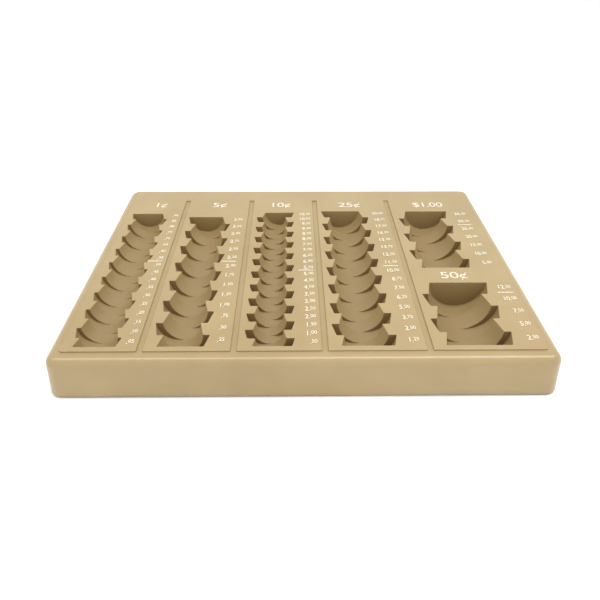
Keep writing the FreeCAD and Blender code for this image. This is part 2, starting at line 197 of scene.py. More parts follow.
@dataclass(frozen=True)
class MouldedPolystyrene:
    """High-impact polystyrene, sand coloured, straight from a polished steel mould.

    The pigment is even but not dead flat, the gloss is soft, and the skin has a faint orange
    peel. Shade is painted into the hollows as a browner, darker colour, and they are made less glossy.
    """

    light: str = "a8946d"
    dark: str = "a18d67"
    mottle: Grain = Grain(38.0, 3.0, 0.55)
    mottle_spread: tuple[float, float] = (0.35, 0.65)
    # Colour of the shade painted into the hollows
    grime: str = "654a20"
    shade_share: tuple[float, float] = (0.315, 0.42)
    noise_range: tuple[float, float] = (0.3, 0.7)
    polish: Grain = Grain(9.0, 4.0, 0.6)
    roughness: tuple[float, float] = (0.285, 0.345)
    shade_dulling: float = 0.3
    peel: Grain = Grain(1.3, 2.0)
    peel_depth: float = 0.012
    peel_strength: float = 0.35
    ior: float = 1.59

    def material(self) -> bpy.types.Material:
        """Build the material with its nodes.

        Returns:
            The material.
        """
        material, tree, shader = new_material("moulded_polystyrene_sand")
        place = add_node(tree, "ShaderNodeTexCoord").outputs["Object"]
        low, high = self.noise_range
        mottle = add_node(tree, "ShaderNodeTexNoise", self.mottle.inputs(place)).outputs["Fac"]
        colour = add_node(tree, "ShaderNodeValToRGB", {"Fac": mottle}, [
            (self.mottle_spread[0], linear(self.dark)), (self.mottle_spread[1], linear(self.light)),
        ])
        # Painted shade browns and darkens the hollows, unevenly
        shade_mask = add_node(tree, "ShaderNodeAttribute", attribute_type="GEOMETRY", attribute_name=PAINTED_SHADE)
        patch = add_node(tree, "ShaderNodeMapRange", {
            "Value": mottle, "From Min": low, "From Max": high,
            "To Min": self.shade_share[0], "To Max": self.shade_share[1],
        })
        share = add_node(tree, "ShaderNodeMath", {
            0: shade_mask.outputs["Fac"], 1: patch.outputs["Result"],
        }, operation="MULTIPLY")
        mixed = add_node(tree, "ShaderNodeMix", {
            "Factor": share.outputs["Value"],
            MIX_FIRST: colour.outputs["Color"], MIX_SECOND: linear(self.grime),
        }, data_type="RGBA")
        tree.links.new(mixed.outputs[MIX_RESULT], shader.inputs["Base Color"])
        # The polish differs a little from place to place, and it is duller where shade is painted
        polish = add_node(tree, "ShaderNodeTexNoise", self.polish.inputs(place)).outputs["Fac"]
        rough = add_node(tree, "ShaderNodeMapRange", {
            "Value": polish, "From Min": low, "From Max": high,
            "To Min": self.roughness[0], "To Max": self.roughness[1],
        })
        dulled = add_node(tree, "ShaderNodeMath", {
            0: shade_mask.outputs["Fac"], 1: self.shade_dulling, 2: rough.outputs["Result"],
        }, operation="MULTIPLY_ADD")
        tree.links.new(dulled.outputs["Value"], shader.inputs["Roughness"])
        # Orange peel, drawn as coarse as it needs to show
        peel = add_node(tree, "ShaderNodeTexNoise", self.peel.inputs(place)).outputs["Fac"]
        bump = add_node(tree, "ShaderNodeBump", {
            "Height": peel, "Strength": self.peel_strength, "Distance": self.peel_depth * MM,
        })
        tree.links.new(bump.outputs["Normal"], shader.inputs["Normal"])
        shader.inputs["IOR"].default_value = self.ior
        return material


@dataclass(frozen=True)
class HotStampFoil:
    """White pigment foil pressed on raised figures.

    It is matt, thin, and rubbed through in spots, where the sand of the plastic tints it.
    """

    white: str = "ddd5c3"
    rubbed: str = "c6b999"
    rub: Grain = Grain(1.1, 3.0, 0.6)
    rub_spread: tuple[float, float] = (0.3, 0.45)
    roughness: float = 0.55

    def material(self) -> bpy.types.Material:
        """Build the material with its nodes.

        Returns:
            The material.
        """
        material, tree, shader = new_material("hot_stamp_foil_white")
        place = add_node(tree, "ShaderNodeTexCoord").outputs["Object"]
        rub = add_node(tree, "ShaderNodeTexNoise", self.rub.inputs(place)).outputs["Fac"]
        colour = add_node(tree, "ShaderNodeValToRGB", {"Fac": rub}, [
            (self.rub_spread[0], linear(self.rubbed)), (self.rub_spread[1], linear(self.white)),
        ])
        tree.links.new(colour.outputs["Color"], shader.inputs["Base Color"])
        shader.inputs["Roughness"].default_value = self.roughness
        return material


@dataclass(frozen=True)
class NitrileRubber:
    """Black nitrile rubber, pressed in a mould: dull, with a fine grain that looks dusty grey."""

    black: str = "1d1c1b"
    dusty: str = "34312e"
    grain: Grain = Grain(0.6, 4.0)
    grain_spread: tuple[float, float] = (0.4, 0.75)
    grain_depth: float = 0.03
    grain_strength: float = 0.5
    roughness: float = 0.8

    def material(self) -> bpy.types.Material:
        """Build the material with its nodes.

        Returns:
            The material.
        """
        material, tree, shader = new_material("pressed_nitrile_rubber")
        place = add_node(tree, "ShaderNodeTexCoord").outputs["Object"]
        grain = add_node(tree, "ShaderNodeTexNoise", self.grain.inputs(place)).outputs["Fac"]
        colour = add_node(tree, "ShaderNodeValToRGB", {"Fac": grain}, [
            (self.grain_spread[0], linear(self.black)), (self.grain_spread[1], linear(self.dusty)),
        ])
        tree.links.new(colour.outputs["Color"], shader.inputs["Base Color"])
        bump = add_node(tree, "ShaderNodeBump", {
            "Height": grain, "Strength": self.grain_strength, "Distance": self.grain_depth * MM,
        })
        tree.links.new(bump.outputs["Normal"], shader.inputs["Normal"])
        shader.inputs["Roughness"].default_value = self.roughness
        return material


def add_object(name: str, data: bpy.types.ID) -> bpy.types.Object:
    """Put an object in the scene, at the origin.

    Args:
        name: Name of the object.
        data: Its mesh, text, light or camera.

    Returns:
        The new object.
    """
    item = bpy.data.objects.new(name, data)
    bpy.context.scene.collection.objects.link(item)
    return item


def place_piece(
    name: str, mesh: bpy.types.Mesh, finish: bpy.types.Material, nodes: list[str],
) -> None:
    """Put a finished mesh in the scene as a piece that stands for CAD nodes.

    Args:
        name: Name of the piece.
        mesh: Its mesh, in the frame's coordinates.
        finish: Material of the piece.
        nodes: CAD nodes that it replaces.
    """
    mesh.materials.clear()
    mesh.materials.append(finish)
    piece = add_object(name, mesh)
    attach(piece, BODY)
    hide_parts(*nodes)
    log.info("%s stands for %s", name, ", ".join(nodes))


def final_mesh(item: bpy.types.Object, name: str) -> bpy.types.Mesh:
    """Turn an object into a plain mesh, with its modifiers or text carried out.

    Args:
        item: The object.
        name: Name of the mesh.

    Returns:
        The new mesh.
    """
    graph = bpy.context.evaluated_depsgraph_get()
    mesh = bpy.data.meshes.new_from_object(item.evaluated_get(graph))
    mesh.name = name
    return mesh


def put_in_order(solid: bmesh.types.BMesh) -> None:
    """Number the corners, edges and faces of a solid by place, so that each run builds it alike.

    Args:
        solid: The solid.
    """
    keys = (
        (solid.verts, lambda vert: vert.co[:]),
        (solid.edges, lambda edge: sorted(vert.index for vert in edge.verts)),
        (solid.faces, lambda face: sorted(vert.index for vert in face.verts)),
    )
    for items, key in keys:
        for number, item in enumerate(sorted(items, key=key)):
            item.index = number
        items.sort()


def to_mesh(solid: bmesh.types.BMesh, name: str) -> bpy.types.Mesh:
    """Turn a bmesh into a mesh with its faces outward, and free it.

    Args:
        solid: The bmesh, in metres.
        name: Name of the mesh.

    Returns:
        The new mesh.
    """
    bmesh.ops.recalc_face_normals(solid, faces=solid.faces)
    put_in_order(solid)
    mesh = bpy.data.meshes.new(name)
    solid.to_mesh(mesh)
    solid.free()
    return mesh


def combine(base: bpy.types.Mesh, tool: bpy.types.Mesh, how: Join) -> bpy.types.Mesh:
    """Add a solid to another, or cut it away.

    Args:
        base: Mesh of the solid that is changed.
        tool: Mesh of the other solid.
        how: Whether the tool is added or cut away.

    Returns:
        Mesh of the result.
    """
    changed = add_object("changed", base)
    other = add_object("tool", tool)
    step = changed.modifiers.new("join", "BOOLEAN")
    step.object = other
    step.operation = how.value
    step.solver = "EXACT"
    joined = final_mesh(changed, base.name)
    bpy.data.objects.remove(changed)
    bpy.data.objects.remove(other)
    return joined


def sweep(profile: bmesh.types.BMesh, run: Vector) -> bpy.types.Mesh:
    """Sweep every flat face of a bmesh along a straight run into a closed solid.

    Args:
        profile: Flat faces, in metres.
        run: Direction and length of the sweep in metres.

    Returns:
        Mesh of the solid.
    """
    new = bmesh.ops.extrude_face_region(profile, geom=profile.faces[:], use_keep_orig=True)["geom"]
    corners = [item for item in new if isinstance(item, bmesh.types.BMVert)]
    bmesh.ops.translate(profile, vec=run, verts=corners)
    return to_mesh(profile, "sweep")


def merge(meshes: list[bpy.types.Mesh], name: str) -> bpy.types.Mesh:
    """Put separate solids in one mesh.

    Args:
        meshes: Meshes that don't touch.
        name: Name of the result.

    Returns:
        The joint mesh.
    """
    whole = bmesh.new()
    for mesh in meshes:
        whole.from_mesh(mesh)
    return to_mesh(whole, name)


def box(low: Vector, high: Vector) -> bpy.types.Mesh:
    """Plain box between two corners, as a cutter or a blank.

    Args:
        low: Lowest corner.
        high: Highest corner.

    Returns:
        Mesh of the box.
    """
    solid = bmesh.new()
    bmesh.ops.create_cube(solid, size=1.0)
    bmesh.ops.scale(solid, vec=(high - low) * MM, verts=solid.verts)
    bmesh.ops.translate(solid, vec=(high + low) * MM / 2, verts=solid.verts)
    return to_mesh(solid, "box")


def round_off(
    solid: bmesh.types.BMesh, edges: list[bmesh.types.BMEdge], radius: float, sides: int,
) -> None:
    """Round edges of a solid.

    Args:
        solid: The solid.
        edges: The edges.
        radius: Radius of the rounding.
        sides: Number of faces across it.
    """
    bmesh.ops.bevel(
        solid, geom=edges, offset=radius * MM, segments=sides, profile=0.5, affect="EDGES", material=-1,
    )


def upright_edges(solid: bmesh.types.BMesh, least: float) -> list[bmesh.types.BMEdge]:
    """Edges of a solid whose ends differ in height by more than a given size."""
    return [edge for edge in solid.edges if abs(edge.verts[0].co.z - edge.verts[1].co.z) > least * MM]


def shade(mesh: bpy.types.Mesh, limit: float) -> None:
    """Blend each corner's normal with the faces round it that turn little, the larger the more.

    Args:
        mesh: Mesh that is shaded.
        limit: Largest turn between two faces that blend, in degrees.
    """
    mesh.shade_smooth()
    least = math.cos(math.radians(limit))
    faces = [(face.normal.copy(), face.area) for face in mesh.polygons]
    around = [[] for _ in mesh.vertices]
    for face in mesh.polygons:
        for vert in face.vertices:
            around[vert].append(faces[face.index])
    normals = []
    for face in mesh.polygons:
        for vert in face.vertices:
            blend = Vector()
            for normal, area in around[vert]:
                if normal.dot(face.normal) > least:
                    blend += normal * area
            normals.append(blend.normalized())
    mesh.normals_split_custom_set(normals)


def raised_text(
    text: str, height: float, thickness: float, widen: float = 1.0, weight: float = 0.0,
) -> bpy.types.Mesh:
    """Raised figures on the ground plane, with their lower left corner near the origin.

    Args:
        text: The figures.
        height: Height of a whole figure.
        thickness: How far they stand up.
        widen: Width against the font's own.
        weight: Growth of each stroke on either side, against the height.

    Returns:
        Mesh of the figures.
    """
    curve = bpy.data.curves.new("figures", "FONT")
    curve.body = text
    curve.size = height * MM / FIGURE_SHARE
    curve.space_character = FIGURE_SPACING
    curve.resolution_u = FIGURE_BEND
    curve.extrude = thickness * MM / 2
    curve.offset = weight * height * MM
    writing = add_object("figures", curve)
    mesh = final_mesh(writing, "figures")
    bpy.data.objects.remove(writing)
    mesh.transform(Matrix.Translation((0, 0, thickness * MM / 2)) @ Matrix.Diagonal((widen, 1, 1, 1)))
    figures = bmesh.new()
    figures.from_mesh(mesh)
    bmesh.ops.remove_doubles(figures, verts=figures.verts, dist=WELD)
    return to_mesh(figures, "figures")


@dataclass
class Trough:
    """One stepped trough and what is printed beside it.

    The steps are half round, as long as the pitch, and each leans the other way from its
    neighbour: it slides sideways over its length and ends offset from the trough's centre line.
    """

    name: str
    coin: float
    pitch: float
    offset: float
    centre: float
    steps: int
    cents: int
    heading: str
    front: float = STEPS_FRONT
    clearance: float = 1.0
    slant: float = 13.0
    fringe: float = 0.5
    slack: float = 0.05

    @property
    def radius(self) -> float:
        """Radius of the half-round trough."""
        return (self.coin + self.clearance) / 2

    @property
    def back(self) -> float:
        """Place of the trough's end face along the tray."""
        return self.front + self.steps * self.pitch

    @property
    def slide(self) -> float:
        """Sideways run of one step."""
        return self.pitch * math.tan(math.radians(self.slant))

    def holds(self, x: float, y: float) -> bool:
        """True where a point seen from above lies in the trough or on its rim."""
        reach = self.radius + self.offset + self.fringe
        return abs(x - self.centre) < reach and self.front - self.fringe < y < self.back + self.fringe

    def ledge_width(self, x: float, y: float) -> float | None:
        """Width of the ledge between two steps at a point.

        Args:
            x: Place across the tray.
            y: Place along the trough.

        Returns:
            Distance between the two arcs that bound the ledge, or None away from a ledge.
        """
        turn = round((y - self.front) / self.pitch)
        away = abs(y - self.front - turn * self.pitch)
        if not self.holds(x, y) or not 0 < turn < self.steps or away > self.slack:
            return None
        lean = Lean.RIGHT if turn % 2 else Lean.LEFT
        shift = 2 * self.offset - self.slide
        crossing = self.centre + lean.value * self.slide / 2
        return abs(shift * (x - crossing) / self.radius)


# Each row: name, coin diameter, length of a step, offset of a step's end, centre line, number of
# steps, value of a step in cents, heading
HALF = Trough("half", 30.61, 10.83, 3.0, 82.5, 5, 250, "50¢")
TROUGHS = [
    Trough("penny", 19.05, 7.65, 1.9, -99.9, 18, 5, "1¢"),
    Trough("nickel", 21.21, 9.49, 2.8, -59.8, 14, 25, "5¢"),
    Trough("dime", 17.91, 6.62, 2.8, -17.0, 21, 50, "10¢"),
    Trough("quarter", 24.26, 8.81, 2.9, 29.1, 16, 125, "25¢"),
    Trough("dollar", 26.50, 10.26, 3.0, 81.3, 7, 500, "$1.00", HALF.back + DOLLAR_GAP),
    HALF,
]


@dataclass
class TrayMoulding:
    """The moulding, with the small roundings that a real mould gives each edge.

    Its outline and heights come from the solid that it stands for. Angles are in degrees. A
    direction is the least share of a face's normal along an axis.
    """

    finish: MouldedPolystyrene
    troughs: list[Trough] = field(default_factory=lambda: TROUGHS)
    node: str = "tray_moulding"
    width: float = field(init=False)
    depth: float = field(init=False)
    foot: float = field(init=False)
    top: float = field(init=False)

    # Shell, plateau and grooves
    draft: float = 3.6
    corner: float = 6.0
    edge: float = 4.0
    wall: float = 2.2
    deck: float = 2.0
    plateau_width: float = 230.0
    plateau_depth: float = PLATEAU_DEPTH
    plateau_step: float = 1.0
    plateau_corner: float = 1.5
    grooves: tuple[float, ...] = (-77.6, -33.6, 9.6, 59.3)
    groove_width: float = 3.0
    groove_back_land: float = 13.7

    # Troughs, ribs and bosses under the deck
    channel_wall: float = 1.8
    lip: float = 0.9
    rib_wall: float = 1.6
    rib_depth: float = 3.0
    rib_spacing: float = 76.0
    boss: float = 7.5
    boss_inset: tuple[float, float] = (15.5, 14.0)
    boss_foot: float = 2.0

    # Faces round each curved form
    arc_sides: int = 52
    corner_sides: int = 10
    edge_sides: int = 8
    plateau_sides: int = 6
    boss_sides: int = 40
    rounding_sides: int = 2

    # How far bosses and ribs, groove cutters and step cutters reach past what they meet
    deep: float = 5.0
    clear: float = 1.0
    overlap: float = 0.001

    # How close corners are that weld, points that lie on a cutting plane, and like heights
    weld: float = 0.002
    hair: float = 0.0001
    near: float = 0.01

    # Plateau kept round a trough where the level faces are divided
    margin: float = 0.8

    # Roundings: a ledge's edges take a share of its width, or stay sharp below the least share
    edge_radius: float = 0.35
    ledge_share: float = 0.4
    least_share: float = 0.25
    sharp_angle: float = 28.0
    flat_angle: float = 0.6
    blend_angle: float = 50.0

    # Painted shade: how dark the grooves are painted, and how fast it grows with the depth of a hollow
    groove_grime: float = 0.35
    shade_rise: float = 1.7

    # Directions of faces
    level: float = 0.999
    ceiling: float = 0.9
    steep: float = 0.7
    downward: float = 0.2

    def __post_init__(self) -> None:
        """Take the outline and the heights from the solid."""
        low, high = solid_box(self.node)
        self.width = high[0] - low[0]
        self.depth = high[1] - low[1]
        self.foot = low[2]
        self.top = high[2]

    @property
    def apron(self) -> float:
        """Height of the apron round the plateau."""
        return self.top - self.plateau_step

    @property
    def rise(self) -> float:
        """Lower edge of the walls up to the apron."""
        return self.apron - self.foot

    def build(self) -> None:
        """Shape the moulding, round its edges and place it."""
        outer = self.block(0.0, self.rise, self.corner, self.edge)
        outer = combine(outer, self.plateau(), Join.ADD)
        room = self.block(self.wall, self.rise - self.deck, self.corner - self.wall, 0.0)
        for part in self.underside():
            room = combine(room, part, Join.CUT)
        outer = combine(outer, room, Join.CUT)
        outer = combine(outer, self.groove_cutter(), Join.CUT)
        for lean in Lean:
            outer = combine(outer, self.step_cutter(lean), Join.CUT)
        shell = bmesh.new()
        shell.from_mesh(outer)
        put_in_order(shell)
        bmesh.ops.remove_doubles(shell, verts=shell.verts, dist=self.weld * MM)
        self.divide_levels(shell)
        put_in_order(shell)
        bmesh.ops.dissolve_limit(
            shell, angle_limit=math.radians(self.flat_angle), verts=shell.verts, edges=shell.edges,
            delimit={"SEAM"},
        )
        self.weigh_edges(shell)
        mesh = self.round_edges(to_mesh(shell, "tray_skin"))
        shade(mesh, self.blend_angle)
        # Paint shade into the hollows, fullest on ledges that face the front
        self.paint_shade(mesh)
        place_piece("tray_skin", mesh, self.finish.material(), [self.node])

    def block(self, inset: float, height: float, corner: float, edge: float) -> bpy.types.Mesh:
        """Drafted block with rounded corners, set in from the outline of the moulding.

        Args:
            inset: Distance from the outline of the moulding.
            height: Height of the block above the lower edge of the walls.
            corner: Radius of its upright corners.
            edge: Radius between its walls and its top, or 0 for a sharp edge.

        Returns:
            Mesh of the block.
        """
        half = Vector((self.width / 2 - inset, self.depth / 2 - inset, 0))
        lean = height * math.tan(math.radians(self.draft))
        solid = bmesh.new()
        bmesh.ops.create_cube(solid, size=2.0)
        for vert in solid.verts:
            high = vert.co.z > 0
            reach = half - Vector((lean, lean, 0)) if high else half
            vert.co = Vector((vert.co.x * reach.x, vert.co.y * reach.y, self.foot + height * high)) * MM
        round_off(solid, upright_edges(solid, height / 2), corner, self.corner_sides)
        if edge:
            level = (self.foot + height - self.near) * MM
            rim = [item for item in solid.edges if min(vert.co.z for vert in item.verts) > level]
            round_off(solid, rim, edge, self.edge_sides)
        return to_mesh(solid, "block")

    def plateau(self) -> bpy.types.Mesh:
        """Plateau with rounded corners, sunk a little into the block that carries it.

        Returns:
            Mesh of the plateau.
        """
        half = Vector((self.plateau_width / 2, self.plateau_depth / 2, 0))
        low = Vector((-half.x, -half.y, self.apron - self.deck / 2))
        solid = bmesh.new()
        solid.from_mesh(box(low, Vector((half.x, half.y, self.top))))
        round_off(solid, upright_edges(solid, self.plateau_step / 2), self.plateau_corner, self.plateau_sides)
        return to_mesh(solid, "plateau")

    def underside(self) -> list[bpy.types.Mesh]:
        """Trough channels, ribs and foot bosses that stand down into the hollow.

        Returns:
            Their meshes, each of solids that don't touch.
        """
        high = self.apron + self.deep
        under_deck = self.apron - self.deck - self.rib_depth
        half = self.rib_wall / 2
        lengthwise = [
            box(Vector((x - half, -self.depth, under_deck)), Vector((x + half, self.depth, high)))
            for x in self.grooves
        ]
        crosswise = [
            box(Vector((-self.width, y - half, under_deck)), Vector((self.width, y + half, high)))
            for y in (-self.rib_spacing / 2, self.rib_spacing / 2)
        ]
        bosses = []
        for across in (-1, 1):
            for along in (-1, 1):
                x = across * (self.width / 2 - self.boss_inset[0])
                y = along * (self.depth / 2 - self.boss_inset[1])
                disc = bmesh.new()
                bmesh.ops.create_circle(disc, cap_ends=True, segments=self.boss_sides, radius=self.boss * MM)
                bmesh.ops.translate(disc, vec=Vector((x, y, self.boss_foot)) * MM, verts=disc.verts)
                bosses.append(sweep(disc, Vector((0, 0, high - self.boss_foot)) * MM))
        channels = [self.channel(trough) for trough in self.troughs]
        return [*channels, merge(lengthwise, "ribs"), merge(crosswise, "ribs"), merge(bosses, "bosses")]

    def upright_disc(self, radius: float) -> bmesh.types.BMesh:
        """Flat disc that faces the front, turned so that no corner lies at the height of its axis.

        Args:
            radius: Radius of the disc.

        Returns:
            The disc, round the origin.
        """
        disc = bmesh.new()
        bmesh.ops.create_circle(disc, cap_ends=True, segments=self.arc_sides, radius=radius * MM)
        turn = Matrix.Rotation(math.pi / 2, 3, "X") @ Matrix.Rotation(math.pi / self.arc_sides, 3, "Z")
        bmesh.ops.rotate(disc, cent=Vector(), matrix=turn, verts=disc.verts)
        return disc

    def channel(self, trough: Trough) -> bpy.types.Mesh:
        """Outside of one trough: a round bar, widened to cover the steps on both sides.

        Args:
            trough: The trough.

        Returns:
            Mesh of the bar.
        """
        bar = self.upright_disc(trough.radius + self.channel_wall)
        for vert in bar.verts:
            vert.co.x += math.copysign(trough.offset * MM, vert.co.x)
        start = trough.front - self.channel_wall
        bmesh.ops.translate(bar, vec=Vector((trough.centre, start, self.top)) * MM, verts=bar.verts)
        return sweep(bar, Vector((0, trough.steps * trough.pitch + 2 * self.channel_wall, 0)) * MM)

    def groove_cutter(self) -> bpy.types.Mesh:
        """Cutters for the grooves that part the columns, open at the front.

        Returns:
            Mesh of the cutters.
        """
        front = -self.plateau_depth / 2 - self.clear
        back = self.plateau_depth / 2 - self.groove_back_land
        half = self.groove_width / 2
        high = self.top + self.clear
        cutters = [
            box(Vector((x - half, front, self.apron)), Vector((x + half, back, high))) for x in self.grooves
        ]
        return merge(cutters, "grooves")

    def step_cutter(self, lean: Lean) -> bpy.types.Mesh:
        """Cutters for all steps that lean one way.

        Args:
            lean: The way that the steps lean.

        Returns:
            Mesh of the cutters.
        """
        cutters = []
        # A hair of overlap leaves no film between two steps
        reach = self.overlap if lean is Lean.LEFT else 0.0
        for trough in self.troughs:
            first = 0 if lean is Lean.RIGHT else 1
            for row in range(first, trough.steps, 2):
                start = self.lip if row == 0 else -reach
                length = trough.pitch - start + reach
                slope = trough.slide / trough.pitch
                shift = trough.offset - trough.slide + slope * start
                x = trough.centre + lean.value * shift
                y = trough.front + row * trough.pitch + start
                disc = self.upright_disc(trough.radius)
                bmesh.ops.translate(disc, vec=Vector((x, y, self.top)) * MM, verts=disc.verts)
                cutters.append(sweep(disc, Vector((lean.value * slope * length, length, 0)) * MM))
        return merge(cutters, "steps")

    def divide_levels(self, shell: bmesh.types.BMesh) -> None:
        """Divide the level faces with holes into simple ones, so that their rims round cleanly.

        Args:
            shell: Welded surface of the moulding.
        """
        across, along = Vector((1, 0, 0)), Vector((0, 1, 0))
        for level in (self.foot, self.apron):
            self.divide(shell, level, Vector(), across)
            self.divide(shell, level, Vector(), along)
        self.divide(shell, self.apron, Vector((0, -self.plateau_depth / 2, 0)), along)
        spans = []
        for trough in self.troughs:
            half = trough.radius + trough.offset + self.margin
            spans.append((trough, trough.centre - half, trough.centre + half))
        for _, left, right in spans:
            self.divide(shell, self.top, Vector((left, 0, 0)), across)
            self.divide(shell, self.top, Vector((right, 0, 0)), across)
        for trough, left, right in spans:
            rows = [trough.front + (row + 0.5) * trough.pitch for row in range(trough.steps)]
            for y in [trough.front - self.margin, *rows, trough.back + self.margin]:
                self.divide(shell, self.top, Vector((0, y, 0)), along, left, right)

    def divide(
        self, shell: bmesh.types.BMesh, level: float, point: Vector, normal: Vector,
        left: float = -math.inf, right: float = math.inf,
    ) -> None:
        """Cut the faces at one height along a plane and mark the cut as a seam.

        Args:
            shell: Surface of the moulding.
            level: Height of the faces.
            point: A point of the plane.
            normal: The plane's normal.
            left: Left limit of the faces that are cut.
            right: Right limit of the faces that are cut.
        """
        parts = set()
        for face in shell.faces:
            middle = face.calc_center_median() / MM
            at_level = abs(middle.z - level) < self.near and abs(face.normal.z) > self.level
            if at_level and left < middle.x < right:
                parts.update([face, *face.edges, *face.verts])
        cut = bmesh.ops.bisect_plane(
            shell, geom=list(parts), dist=self.hair * MM, plane_co=point * MM, plane_no=normal,
        )
        for item in cut["geom_cut"]:
            if isinstance(item, bmesh.types.BMEdge):
                item.seam = True

    def weigh_edges(self, shell: bmesh.types.BMesh) -> None:
        """Give each sharp edge its share of the rounding, less where a ledge tapers away.

        Args:
            shell: Welded surface of the moulding.
        """
        layer = shell.edges.layers.float.new("bevel_weight_edge")
        limit = math.radians(self.sharp_angle)
        for edge in shell.edges:
            if len(edge.link_faces) != 2 or edge.calc_face_angle(0.0) < limit:
                continue
            middle = (edge.verts[0].co + edge.verts[1].co) / (2 * MM)
            widths = [trough.ledge_width(middle.x, middle.y) for trough in self.troughs]
            room = [width for width in widths if width is not None]
            share = min(1.0, self.ledge_share * min(room) / self.edge_radius) if room else 1.0
            if share > self.least_share and not self.is_hidden(edge, middle):
                edge[layer] = share

    def is_hidden(self, edge: bmesh.types.BMEdge, middle: Vector) -> bool:
        """True for an edge of the hollow underside, which stays as sharp as the mould left it.

        Args:
            edge: Edge of the moulding.
            middle: Its middle.

        Returns:
            Whether the edge is one of the underside.
        """
        if middle.z < self.foot + self.near:
            return False
        return any(face.normal.z < -self.ceiling for face in edge.link_faces)

    def round_edges(self, mesh: bpy.types.Mesh) -> bpy.types.Mesh:
        """Round each edge by its share of the mould's radius.

        Args:
            mesh: Welded surface of the moulding with its edge weights.

        Returns:
            Mesh of the rounded moulding.
        """
        solid = add_object("sharp_moulding", mesh)
        rounding = solid.modifiers.new("mould_radius", "BEVEL")
        rounding.width = self.edge_radius * MM
        rounding.segments = self.rounding_sides
        rounding.limit_method = "WEIGHT"
        rounding.use_clamp_overlap = False
        rounding.miter_outer = "MITER_ARC"
        rounded = bmesh.new()
        rounded.from_mesh(final_mesh(solid, mesh.name))
        bpy.data.objects.remove(solid)
        return to_mesh(rounded, mesh.name)

    def paint_shade(self, mesh: bpy.types.Mesh) -> None:
        """Store how much painted shade each corner of the skin takes, from 0 to 1.

        Args:
            mesh: Mesh of the rounded moulding.
        """
        layer = mesh.attributes.new(PAINTED_SHADE, "FLOAT", "CORNER")
        for face in mesh.polygons:
            middle = face.center / MM
            if middle.z > self.top - self.near or face.normal.z < -self.downward:
                continue
            heights = [mesh.vertices[vert].co.z / MM for vert in face.vertices]
            room = next((trough for trough in self.troughs if trough.holds(middle.x, middle.y)), None)
            in_groove = (
                any(abs(middle.x - groove) < self.groove_width / 2 for groove in self.grooves)
                and abs(middle.y) < self.plateau_depth / 2 and max(heights) < self.apron + self.near
            )
            # Painted shade grows with depth in the troughs; the grooves and the plateau's sides take a little
            if room is not None:
                depth = room.radius
            elif in_groove:
                depth = self.plateau_step / self.groove_grime
            elif min(heights) > self.apron - self.near and face.normal.z < self.steep:
                depth = self.plateau_step
            else:
                continue
            # Ledges that face the front take full painted shade
            faces_front = face.normal.y < -self.steep
            is_ledge = room is not None and faces_front and middle.y < room.back - room.fringe
            for corner, height in zip(face.loop_indices, heights):
                share = max(0.0, min(1.0, (self.top - height) / depth))
                layer.data[corner].value = 1.0 if is_ledge else share ** self.shade_rise


@dataclass
class Markings:
    """Raised white figures and lines beside one trough, at the height of their solids."""

    trough: Trough
    finish: bpy.types.Material
    level: float = field(init=False)
    thickness: float = field(init=False)
    whole_height: float = 3.5
    cents_height: float = 2.6
    figure_width: float = 0.86
    value_weight: float = 0.012
    gap: float = 0.22
    lift: float = 0.56
    heading_height: float = 6.6
    line_round: float = 0.12
    line_sides: int = 2

    def __post_init__(self) -> None:
        """Take the height of the plateau and of the figures from the heading's solid."""
        low, high = solid_box("heading_" + self.trough.name)
        self.level = low[2]
        self.thickness = high[2] - low[2]

    def build(self) -> None:
        """Make the scale of values, the heading and the roll line."""
        self.place("values", "scale", self.values())
        self.place("title", "heading", [self.title()])
        self.place("roll_bar", "roll_line", [self.roll_bar()])

    def place(self, kind: str, node: str, meshes: list[bpy.types.Mesh]) -> None:
        """Place one kind of marking in place of its CAD node."""
        name = self.trough.name
        place_piece(f"{kind}_{name}", merge(meshes, kind), self.finish, [f"{node}_{name}"])

    def values(self) -> list[bpy.types.Mesh]:
        """Value beside each step: whole dollars large, cents small and raised.

        Returns:
            Meshes of the figures, in place.
        """
        _, high = solid_box("scale_" + self.trough.name)
        shapes = []
        for step in range(1, self.trough.steps + 1):
            dollars, cents = divmod(self.trough.cents * step, 100)
            foot = self.trough.front + (step - 1 + self.lift) * self.trough.pitch - self.whole_height / 2
            raised = foot + self.whole_height - self.cents_height
            small = self.figures(f"{cents:02d}", self.cents_height, high[0], raised)
            left = min(vert.co.x for vert in small.vertices) / MM
            shapes += [small, self.figures(f"{dollars or ''}.", self.whole_height, left - self.gap, foot)]
        return shapes

    def figures(self, text: str, height: float, right: float, foot: float) -> bpy.types.Mesh:
        """Row of figures that ends at a given place.

        Args:
            text: The figures.
            height: Height of a figure.
            right: Right edge of the last figure.
            foot: Lower edge of the figures.

        Returns:
            Mesh of the figures, in place.
        """
        mesh = raised_text(text, height, self.thickness, self.figure_width, self.value_weight)
        edge = max(vert.co.x for vert in mesh.vertices)
        mesh.transform(Matrix.Translation((right * MM - edge, foot * MM, self.level * MM)))
        return mesh

    def title(self) -> bpy.types.Mesh:
        """Heading at the back of the trough, as wide as the solid that it stands for.

        Returns:
            Mesh of the heading, in place.
        """
        low, high = solid_box("heading_" + self.trough.name)
        mesh = raised_text(self.trough.heading, self.heading_height, self.thickness)
        left = min(vert.co.x for vert in mesh.vertices)
        width = max(vert.co.x for vert in mesh.vertices) - left
        fit = (high[0] - low[0]) * MM / width
        mesh.transform(Matrix.Diagonal((fit, 1, 1, 1)) @ Matrix.Translation((-left, 0, 0)))
        mesh.transform(Matrix.Translation(Vector((low[0], low[1], self.level)) * MM))
        return mesh

    def roll_bar(self) -> bpy.types.Mesh:
        """Line that shows where a full roll ends, with softened edges.

        Returns:
            Mesh of the line, in place.
        """
        low, high = solid_box("roll_line_" + self.trough.name)
        bar = bmesh.new()
        bar.from_mesh(box(Vector(low), Vector(high)))
        level = (high[2] - self.thickness / 2) * MM
        rim = [edge for edge in bar.edges if max(vert.co.z for vert in edge.verts) > level]
        round_off(bar, rim, self.line_round, self.line_sides)
        return to_mesh(bar, "roll_bar")


